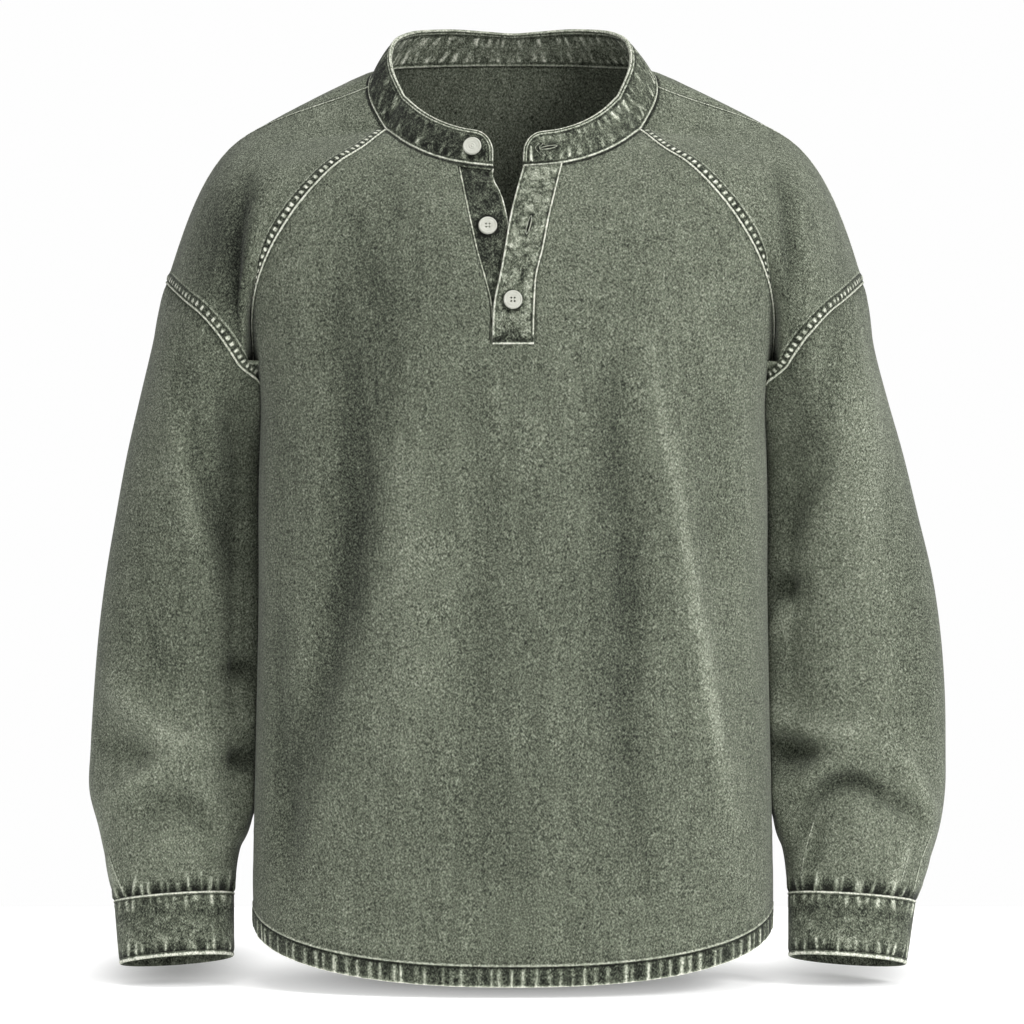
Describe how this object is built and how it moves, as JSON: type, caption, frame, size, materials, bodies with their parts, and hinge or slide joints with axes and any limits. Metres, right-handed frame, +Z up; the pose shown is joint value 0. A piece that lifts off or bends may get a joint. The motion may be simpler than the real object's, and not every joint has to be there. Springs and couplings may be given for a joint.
{
  "type": "henley sweatshirt, worn form",
  "caption": "Long-sleeved henley sweatshirt in its worn, hollow form: stand collar, open button placket, raglan shoulder pieces, gathered cuffs and a curved hem.",
  "frame": {"origin": "middle of the neck opening, level with the neck seam at its two sides, where the wearer's neck and shoulders hold the garment", "axes": "+Z up along the garment's length, +X towards the viewer's right (the wearer's left sleeve), +Y from the front to the back"},
  "size_m": [0.703, 0.2575, 0.7755],
  "materials": {
    "cloth": "garment-washed sage-green brushed cotton twill, worn lighter along the seams",
    "button": "off-white, satin"
  },
  "bodies": {
    "root": {"front": "cloth", "back": "cloth", "shoulder_front_left": "cloth", "shoulder_back_left": "cloth", "shoulder_front_right": "cloth", "shoulder_back_right": "cloth", "sleeve_left": "cloth", "sleeve_right": "cloth", "cuff_left": "cloth", "cuff_right": "cloth", "collar": "cloth", "hem_front": "cloth", "hem_back": "cloth", "placket_over": "cloth", "placket_under": "cloth", "button_top": "button", "button_middle": "button", "button_bottom": "button"}
  },
  "joints": []
}
